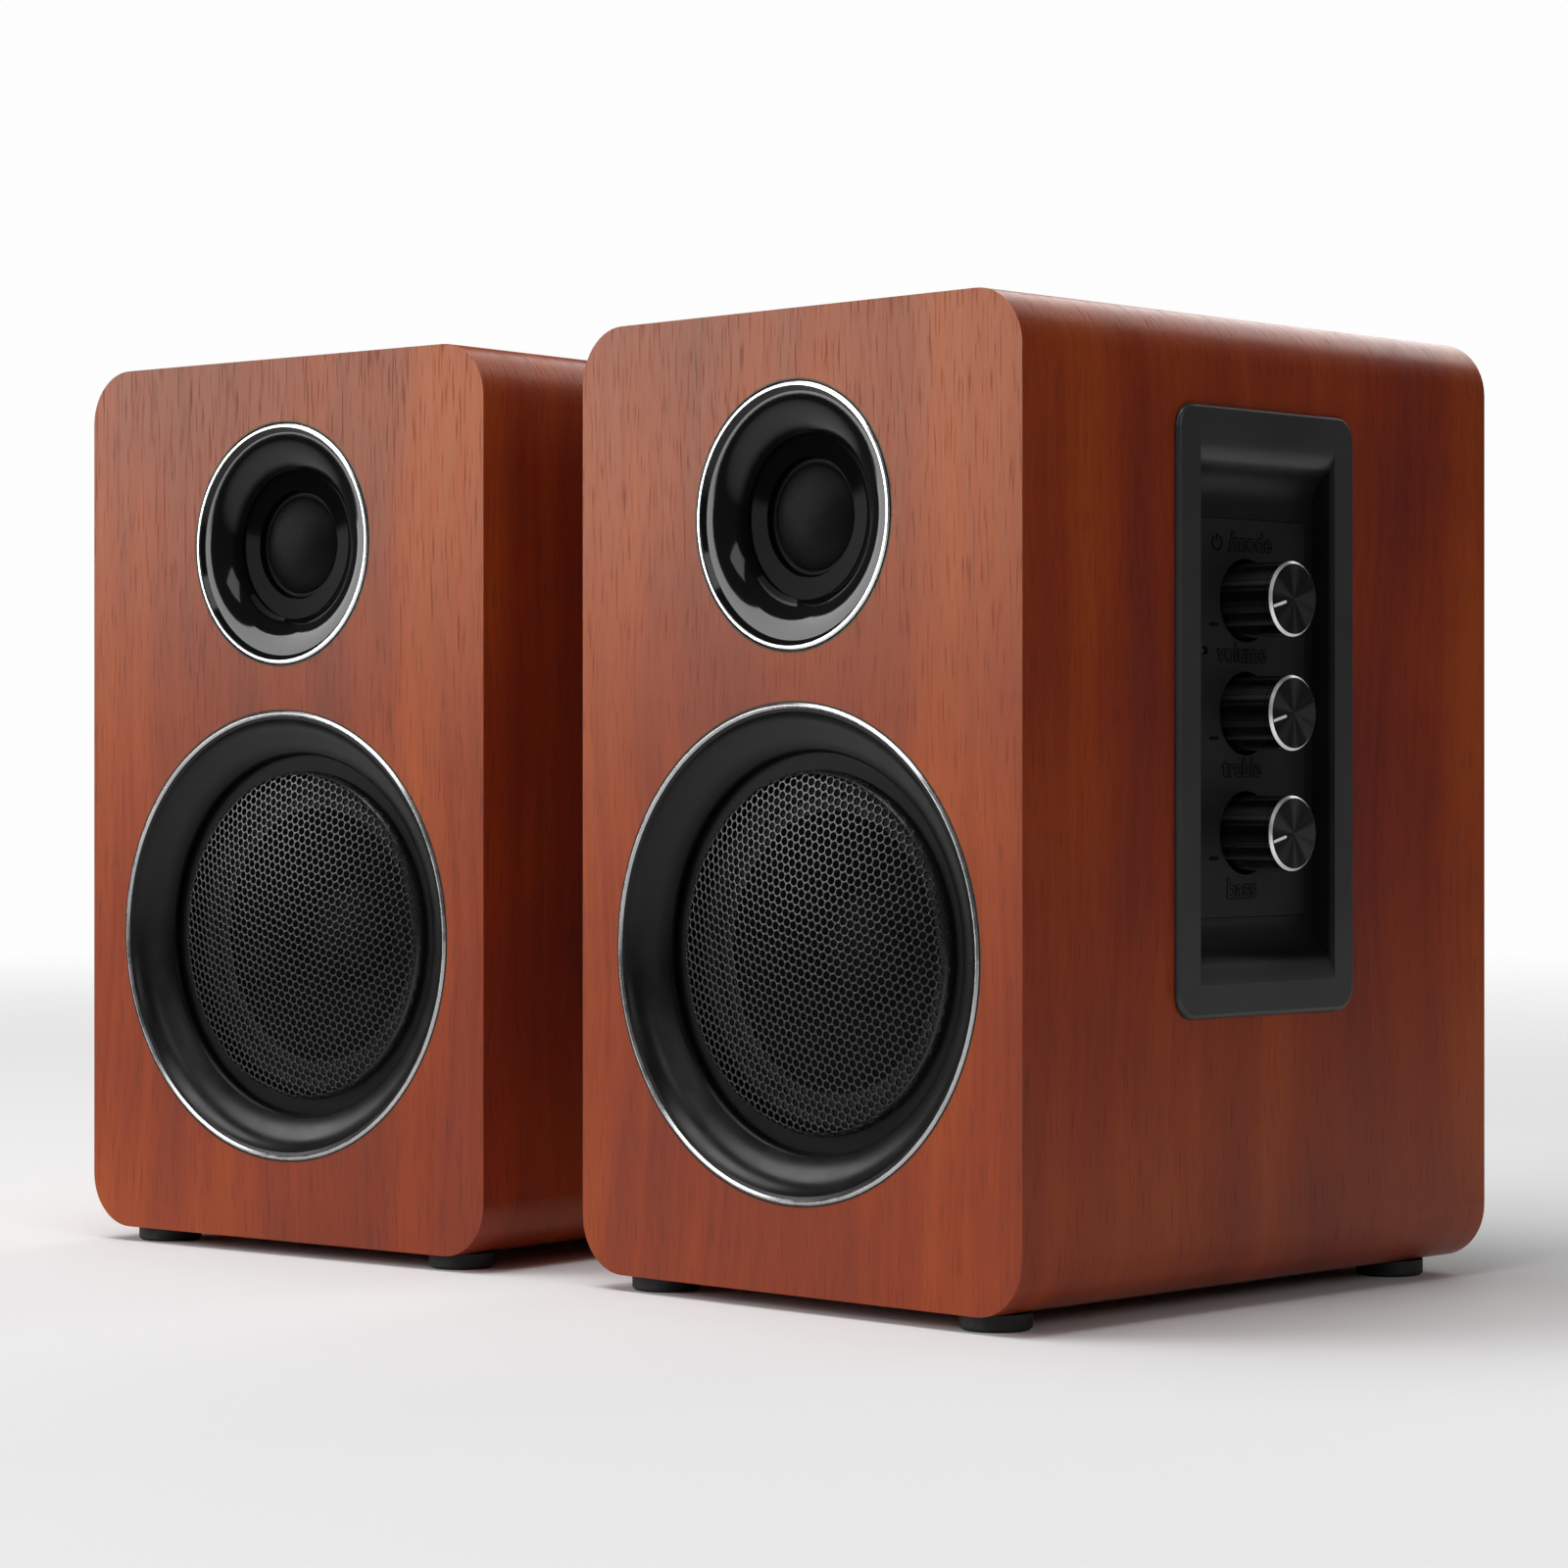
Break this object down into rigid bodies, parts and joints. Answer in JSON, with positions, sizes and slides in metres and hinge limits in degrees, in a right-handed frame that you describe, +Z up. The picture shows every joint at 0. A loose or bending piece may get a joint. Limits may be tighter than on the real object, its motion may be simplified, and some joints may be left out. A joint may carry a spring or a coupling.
{
  "type": "desktop speakers",
  "caption": "Pair of powered desktop speakers: veneered boxes on rubber feet, dome tweeter in a horn, grilled woofer, side control panel with turning knobs.",
  "frame": {"origin": "on the table, at the middle of the outline of the pair, both cabinets turned in by 3 degrees", "axes": "+Z up; -Y is the way the fronts face; +X to the listener's right, where the cabinet with the controls stands"},
  "size_m": [0.3482, 0.1906, 0.238],
  "materials": {
    "amp_metal": "black powder coat",
    "bright_metal": "polished",
    "circuit_board": "solder mask",
    "dome_cloth": "coated weave",
    "gloss_plastic": "piano gloss",
    "grille_steel": "satin black",
    "jack_metal": "gold plated",
    "knob_metal": "black anodised, bright cut rim",
    "led_lens": "clear dark",
    "lever_black": "moulded",
    "lever_red": "moulded",
    "motor_steel": "black",
    "panel_plastic": "satin moulded",
    "paper": "coated paper",
    "plastic": "fine matt",
    "rear_board": "matt black painted board",
    "rubber": "matt",
    "satin_plastic": "satin fine texture",
    "screw_steel": "black zinc",
    "shaft_metal": "plain",
    "veneer": "satin red-brown veneer"
  },
  "bodies": {
    "right_cabinet": {"right_cabinet_sleeve": "veneer", "right_front_baffle": "veneer", "right_rear_panel": "rear_board", "right_feet": "rubber", "right_port_tube": "plastic", "right_tweeter_ring": "bright_metal", "right_tweeter_horn": "gloss_plastic", "right_tweeter_dome": "dome_cloth", "right_tweeter_motor": "motor_steel", "right_woofer_ring": "bright_metal", "right_woofer_bezel": "satin_plastic", "right_woofer_grille": "grille_steel", "right_woofer_frame": "motor_steel", "right_woofer_surround": "rubber", "right_woofer_spider": "dome_cloth", "right_woofer_motor": "motor_steel", "right_screws": "screw_steel", "right_terminal_block": "plastic", "control_panel_frame": "panel_plastic", "control_plate": "panel_plastic", "control_board": "circuit_board", "status_led": "led_lens", "control_housings": "shaft_metal", "amp_plate": "amp_metal", "amp_board": "circuit_board", "input_jacks": "jack_metal", "mains_inlet": "plastic", "power_transformer": "motor_steel"},
    "left_cabinet": {"left_cabinet_sleeve": "veneer", "left_front_baffle": "veneer", "left_rear_panel": "rear_board", "left_feet": "rubber", "left_port_tube": "plastic", "left_tweeter_ring": "bright_metal", "left_tweeter_horn": "gloss_plastic", "left_tweeter_dome": "dome_cloth", "left_tweeter_motor": "motor_steel", "left_woofer_ring": "bright_metal", "left_woofer_bezel": "satin_plastic", "left_woofer_grille": "grille_steel", "left_woofer_frame": "motor_steel", "left_woofer_surround": "rubber", "left_woofer_spider": "dome_cloth", "left_woofer_motor": "motor_steel", "left_screws": "screw_steel", "left_terminal_block": "plastic", "left_crossover": "circuit_board"},
    "volume_switch": {"volume_plunger": "plastic"},
    "volume_control": {"volume_knob": "knob_metal", "volume_shaft": "shaft_metal"},
    "treble_control": {"treble_knob": "knob_metal", "treble_shaft": "shaft_metal"},
    "bass_control": {"bass_knob": "knob_metal", "bass_shaft": "shaft_metal"},
    "right_cone": {"right_woofer_cone": "paper"},
    "left_cone": {"left_woofer_cone": "paper"},
    "right_black_lever": {"right_black_clip_lever": "lever_black"},
    "right_red_lever": {"right_red_clip_lever": "lever_red"},
    "left_black_lever": {"left_black_clip_lever": "lever_black"},
    "left_red_lever": {"left_red_clip_lever": "lever_red"}
  },
  "joints": [
    {"name": "left_cabinet_spacing", "type": "slide", "parent": "right_cabinet", "child": "left_cabinet", "axis": [-1, 0, 0], "range_m": [0, 0.25]},
    {"name": "volume_push", "type": "slide", "parent": "right_cabinet", "child": "volume_switch", "axis": [-0.9986, 0.0523, 0], "range_m": [0, 0.0015], "stiffness_N_per_m": 1500, "springref_m": -0.001},
    {"name": "volume_turn", "type": "hinge", "parent": "volume_switch", "child": "volume_control", "pos_m": [0.16467, -0.00746, 0.1693], "axis": [-0.9986, 0.0523, 0], "range_deg": [-44, 256]},
    {"name": "treble_turn", "type": "hinge", "parent": "right_cabinet", "child": "treble_control", "pos_m": [0.16467, -0.00746, 0.1421], "axis": [-0.9986, 0.0523, 0], "range_deg": [-44, 256]},
    {"name": "bass_turn", "type": "hinge", "parent": "right_cabinet", "child": "bass_control", "pos_m": [0.16467, -0.00746, 0.1134], "axis": [-0.9986, 0.0523, 0], "range_deg": [-44, 256]},
    {"name": "right_woofer_travel", "type": "slide", "parent": "right_cabinet", "child": "right_cone", "axis": [-0.0523, -0.9986, 0], "range_m": [-0.0025, 0.0025], "stiffness_N_per_m": 1200, "deforming": ["right_woofer_surround", "right_woofer_spider"]},
    {"name": "left_woofer_travel", "type": "slide", "parent": "left_cabinet", "child": "left_cone", "axis": [0.0523, -0.9986, 0], "range_m": [-0.0025, 0.0025], "stiffness_N_per_m": 1200, "deforming": ["left_woofer_surround", "left_woofer_spider"]},
    {"name": "right_black_lever_press", "type": "hinge", "parent": "right_cabinet", "child": "right_black_lever", "pos_m": [0.0913, 0.09231, 0.1281], "axis": [-0.9986, 0.0523, 0], "range_deg": [0, 25], "stiffness_Nm_per_rad": 0.08, "springref_deg": -11.46},
    {"name": "right_red_lever_press", "type": "hinge", "parent": "right_cabinet", "child": "right_red_lever", "pos_m": [0.06932, 0.09347, 0.1281], "axis": [-0.9986, 0.0523, 0], "range_deg": [0, 25], "stiffness_Nm_per_rad": 0.08, "springref_deg": -11.46},
    {"name": "left_black_lever_press", "type": "hinge", "parent": "left_cabinet", "child": "left_black_lever", "pos_m": [-0.09086, 0.09058, 0.0721], "axis": [-0.9986, -0.0523, 0], "range_deg": [0, 25], "stiffness_Nm_per_rad": 0.08, "springref_deg": -11.46},
    {"name": "left_red_lever_press", "type": "hinge", "parent": "left_cabinet", "child": "left_red_lever", "pos_m": [-0.11283, 0.08943, 0.0721], "axis": [-0.9986, -0.0523, 0], "range_deg": [0, 25], "stiffness_Nm_per_rad": 0.08, "springref_deg": -11.46}
  ]
}
